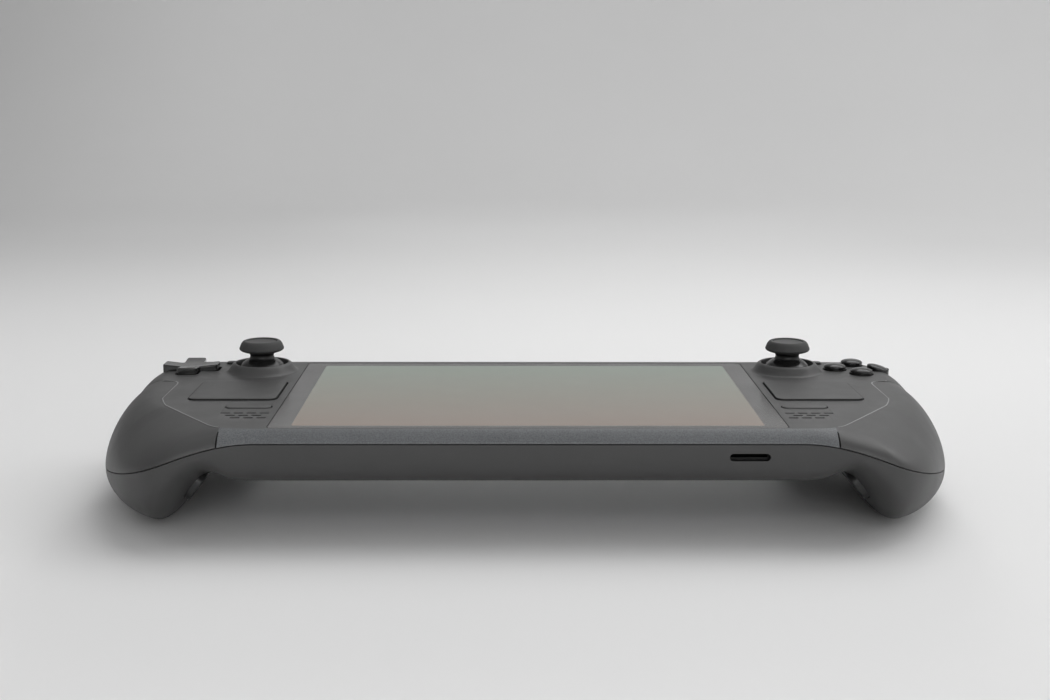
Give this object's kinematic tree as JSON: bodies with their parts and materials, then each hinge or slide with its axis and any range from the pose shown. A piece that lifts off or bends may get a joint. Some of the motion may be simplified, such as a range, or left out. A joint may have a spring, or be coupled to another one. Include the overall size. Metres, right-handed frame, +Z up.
{
  "type": "handheld game console",
  "caption": "Handheld game console with a wide screen between two grips, thumbsticks, trackpads, a direction pad, face buttons, bumpers, triggers and rear paddles.",
  "frame": {"origin": "middle of the overall box in plan, at the table that the grips rest on", "axes": "+X to the player's right, +Y away from the player, +Z up out of the screen"},
  "size_m": [0.298, 0.117, 0.049],
  "materials": {
    "shell_front": "fine moulded grain",
    "shell_back": "fine moulded grain",
    "glass": "etched anti-glare",
    "display": "dark panel",
    "black_gloss": "polished",
    "control_grey": "satin",
    "trackpad": "soft touch",
    "stick_rubber": "soft grip",
    "silicone": "translucent grey",
    "inner_plastic": "natural acetal",
    "steel": "plain",
    "board": "solder mask",
    "copper": "bare copper",
    "fins": "bare",
    "black_plastic": "plain"
  },
  "bodies": {
    "body": {"front_cover": "shell_front", "back_cover": "shell_back", "cover_glass": "glass", "display_panel": "display", "back_screws": "steel", "left_button_mat": "silicone", "right_button_mat": "silicone", "left_trackpad_tray": "steel", "right_trackpad_tray": "steel", "left_stick_base": "steel", "right_stick_base": "steel", "bumper_pins": "steel", "left_trigger_bracket": "steel", "right_trigger_bracket": "steel", "trigger_pins": "steel", "headphone_socket": "black_plastic", "usb_socket": "steel", "card_reader": "steel", "main_board": "board", "heat_sink": "fins", "heat_pipe": "copper", "fan_housing": "black_plastic", "battery": "black_plastic", "left_speaker": "black_plastic", "right_speaker": "black_plastic", "left_control_board": "board", "right_control_board": "board", "storage_card": "board"},
    "left_stick_ring": {"left_stick_ring": "inner_plastic"},
    "left_stick_cradle": {"left_stick_cradle": "inner_plastic"},
    "left_stick": {"left_stick": "stick_rubber"},
    "right_stick_ring": {"right_stick_ring": "inner_plastic"},
    "right_stick_cradle": {"right_stick_cradle": "inner_plastic"},
    "right_stick": {"right_stick": "stick_rubber"},
    "dpad_rocker": {"dpad_rocker": "control_grey"},
    "dpad": {"dpad": "control_grey"},
    "face_button_near": {"face_button_near": "black_gloss"},
    "face_button_far": {"face_button_far": "black_gloss"},
    "face_button_left": {"face_button_left": "black_gloss"},
    "face_button_right": {"face_button_right": "black_gloss"},
    "select_button": {"select_button": "control_grey"},
    "start_button": {"start_button": "control_grey"},
    "left_menu_key": {"left_menu_key": "control_grey"},
    "right_menu_key": {"right_menu_key": "control_grey"},
    "left_trackpad": {"left_trackpad": "trackpad"},
    "right_trackpad": {"right_trackpad": "trackpad"},
    "left_bumper": {"left_bumper": "control_grey"},
    "right_bumper": {"right_bumper": "control_grey"},
    "left_trigger": {"left_trigger": "control_grey"},
    "right_trigger": {"right_trigger": "control_grey"},
    "left_upper_paddle": {"left_upper_paddle": "control_grey"},
    "left_lower_paddle": {"left_lower_paddle": "control_grey"},
    "right_upper_paddle": {"right_upper_paddle": "control_grey"},
    "right_lower_paddle": {"right_lower_paddle": "control_grey"},
    "volume_down_button": {"volume_down_button": "control_grey"},
    "volume_up_button": {"volume_up_button": "control_grey"},
    "power_button": {"power_button": "control_grey"},
    "fan_rotor": {"fan_rotor": "black_plastic"}
  },
  "joints": [
    {"name": "left_stick_forward", "type": "hinge", "parent": "body", "child": "left_stick_ring", "pos_m": [-0.0984, 0.0395, 0.0321], "axis": [1, 0, 0], "range_deg": [-16, 16], "stiffness_Nm_per_rad": 0.05},
    {"name": "left_stick_sideways", "type": "hinge", "parent": "left_stick_ring", "child": "left_stick_cradle", "pos_m": [-0.0984, 0.0395, 0.0321], "axis": [0, 1, 0], "range_deg": [-16, 16], "stiffness_Nm_per_rad": 0.05},
    {"name": "left_stick_click", "type": "slide", "parent": "left_stick_cradle", "child": "left_stick", "axis": [0, 0, -1], "range_m": [0, 0.00035], "stiffness_N_per_m": 4000},
    {"name": "right_stick_forward", "type": "hinge", "parent": "body", "child": "right_stick_ring", "pos_m": [0.0984, 0.0395, 0.0321], "axis": [1, 0, 0], "range_deg": [-16, 16], "stiffness_Nm_per_rad": 0.05},
    {"name": "right_stick_sideways", "type": "hinge", "parent": "right_stick_ring", "child": "right_stick_cradle", "pos_m": [0.0984, 0.0395, 0.0321], "axis": [0, 1, 0], "range_deg": [-16, 16], "stiffness_Nm_per_rad": 0.05},
    {"name": "right_stick_click", "type": "slide", "parent": "right_stick_cradle", "child": "right_stick", "axis": [0, 0, -1], "range_m": [0, 0.00035], "stiffness_N_per_m": 4000},
    {"name": "dpad_up_down", "type": "hinge", "parent": "body", "child": "dpad_rocker", "pos_m": [-0.1254, 0.0424, 0.0363], "axis": [1, 0, 0], "range_deg": [-4, 4], "stiffness_Nm_per_rad": 0.3},
    {"name": "dpad_left_right", "type": "hinge", "parent": "dpad_rocker", "child": "dpad", "pos_m": [-0.1254, 0.0424, 0.0363], "axis": [0, 1, 0], "range_deg": [-4, 4], "stiffness_Nm_per_rad": 0.3},
    {"name": "face_button_near_press", "type": "slide", "parent": "body", "child": "face_button_near", "axis": [0, 0, -1], "range_m": [0, 0.0012], "stiffness_N_per_m": 500},
    {"name": "face_button_far_press", "type": "slide", "parent": "body", "child": "face_button_far", "axis": [0, 0, -1], "range_m": [0, 0.0012], "stiffness_N_per_m": 500},
    {"name": "face_button_left_press", "type": "slide", "parent": "body", "child": "face_button_left", "axis": [0, 0, -1], "range_m": [0, 0.0012], "stiffness_N_per_m": 500},
    {"name": "face_button_right_press", "type": "slide", "parent": "body", "child": "face_button_right", "axis": [0, 0, -1], "range_m": [0, 0.0012], "stiffness_N_per_m": 500},
    {"name": "select_button_press", "type": "slide", "parent": "body", "child": "select_button", "axis": [0, 0, -1], "range_m": [0, 0.0005], "stiffness_N_per_m": 1200},
    {"name": "start_button_press", "type": "slide", "parent": "body", "child": "start_button", "axis": [0, 0, -1], "range_m": [0, 0.0005], "stiffness_N_per_m": 1200},
    {"name": "left_menu_key_press", "type": "slide", "parent": "body", "child": "left_menu_key", "axis": [0, 0, -1], "range_m": [0, 0.0005], "stiffness_N_per_m": 1200},
    {"name": "right_menu_key_press", "type": "slide", "parent": "body", "child": "right_menu_key", "axis": [0, 0, -1], "range_m": [0, 0.0005], "stiffness_N_per_m": 1200},
    {"name": "left_trackpad_press", "type": "slide", "parent": "body", "child": "left_trackpad", "axis": [0, 0, -1], "range_m": [0, 0.00025], "stiffness_N_per_m": 8000},
    {"name": "right_trackpad_press", "type": "slide", "parent": "body", "child": "right_trackpad", "axis": [0, 0, -1], "range_m": [0, 0.00025], "stiffness_N_per_m": 8000},
    {"name": "left_bumper_press", "type": "hinge", "parent": "body", "child": "left_bumper", "pos_m": [-0.093, 0.0533, 0.0271], "axis": [0, 0, 1], "range_deg": [0, 1], "stiffness_Nm_per_rad": 2.5},
    {"name": "right_bumper_press", "type": "hinge", "parent": "body", "child": "right_bumper", "pos_m": [0.093, 0.0533, 0.0271], "axis": [0, 0, -1], "range_deg": [0, 1], "stiffness_Nm_per_rad": 2.5},
    {"name": "left_trigger_pull", "type": "hinge", "parent": "body", "child": "left_trigger", "pos_m": [-0.113, 0.05, 0.01685], "axis": [-1, 0, 0], "range_deg": [0, 16], "stiffness_Nm_per_rad": 0.1},
    {"name": "right_trigger_pull", "type": "hinge", "parent": "body", "child": "right_trigger", "pos_m": [0.113, 0.05, 0.01685], "axis": [-1, 0, 0], "range_deg": [0, 16], "stiffness_Nm_per_rad": 0.1},
    {"name": "left_upper_paddle_press", "type": "slide", "parent": "body", "child": "left_upper_paddle", "axis": [-0.7409, 0, 0.6716], "range_m": [0, 0.0008], "stiffness_N_per_m": 1500},
    {"name": "left_lower_paddle_press", "type": "slide", "parent": "body", "child": "left_lower_paddle", "axis": [-0.7908, 0, 0.612], "range_m": [0, 0.0008], "stiffness_N_per_m": 1500},
    {"name": "right_upper_paddle_press", "type": "slide", "parent": "body", "child": "right_upper_paddle", "axis": [0.7409, 0, 0.6716], "range_m": [0, 0.0008], "stiffness_N_per_m": 1500},
    {"name": "right_lower_paddle_press", "type": "slide", "parent": "body", "child": "right_lower_paddle", "axis": [0.7908, 0, 0.612], "range_m": [0, 0.0008], "stiffness_N_per_m": 1500},
    {"name": "volume_down_button_press", "type": "slide", "parent": "body", "child": "volume_down_button", "axis": [0, -1, 0], "range_m": [0, 0.0004], "stiffness_N_per_m": 3000},
    {"name": "volume_up_button_press", "type": "slide", "parent": "body", "child": "volume_up_button", "axis": [0, -1, 0], "range_m": [0, 0.0004], "stiffness_N_per_m": 3000},
    {"name": "power_button_press", "type": "slide", "parent": "body", "child": "power_button", "axis": [0, -1, 0], "range_m": [0, 0.0004], "stiffness_N_per_m": 3000},
    {"name": "fan_spin", "type": "hinge", "parent": "body", "child": "fan_rotor", "pos_m": [0.0245, 0.015, 0.0229], "axis": [0, 0, 1], "continuous": true}
  ]
}
